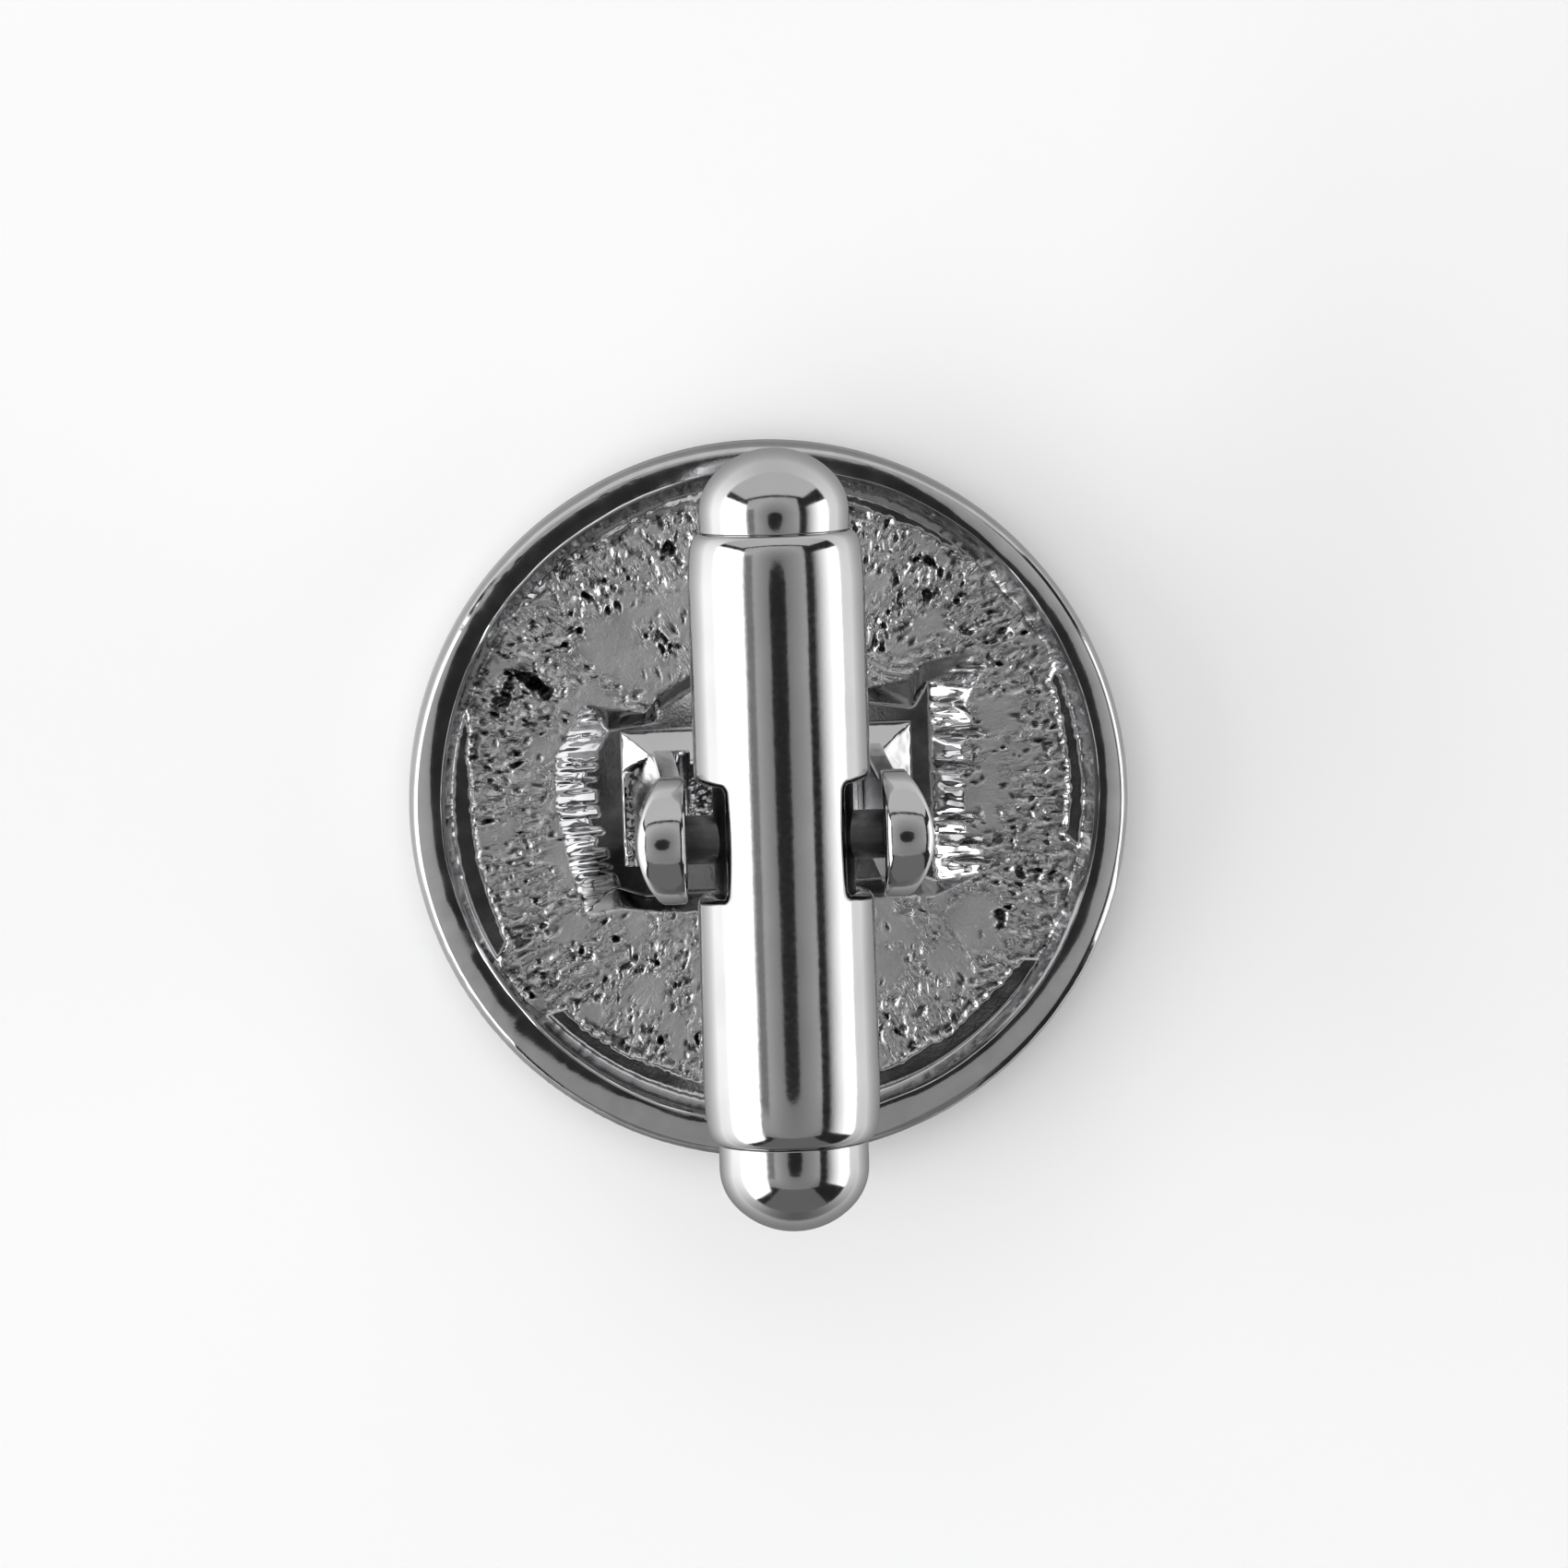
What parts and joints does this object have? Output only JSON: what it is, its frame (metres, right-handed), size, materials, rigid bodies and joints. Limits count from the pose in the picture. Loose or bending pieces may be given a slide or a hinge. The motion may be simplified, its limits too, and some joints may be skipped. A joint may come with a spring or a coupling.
{
  "type": "swivel-bar cufflink",
  "caption": "Round metal cufflink lying face down, with a recessed cast back, a forked post and a swivelling bar with domed end caps.",
  "frame": {"origin": "centre of the button's flat front face, which the cufflink rests on", "axes": "+Z from the front face towards the bar, +X along the pivot pin, +Y along the bar as it lies when fastened"},
  "size_m": [0.019, 0.02, 0.0149],
  "materials": {
    "cast_metal": "plated casting, polished on the rim and fork, rough as cast in the recess",
    "polished_metal": "mirror polished plating",
    "pin_steel": "dark bare steel"
  },
  "bodies": {
    "base": {"button": "cast_metal", "pivot_pin": "pin_steel"},
    "toggle": {"barrel": "polished_metal", "core": "pin_steel", "end_cap_far": "polished_metal", "end_cap_near": "polished_metal"}
  },
  "joints": [
    {"name": "bar_swivel", "type": "hinge", "parent": "base", "child": "toggle", "pos_m": [0, 0.0001, 0.01262], "axis": [1, 0, 0], "range_deg": [-90, 90]}
  ]
}
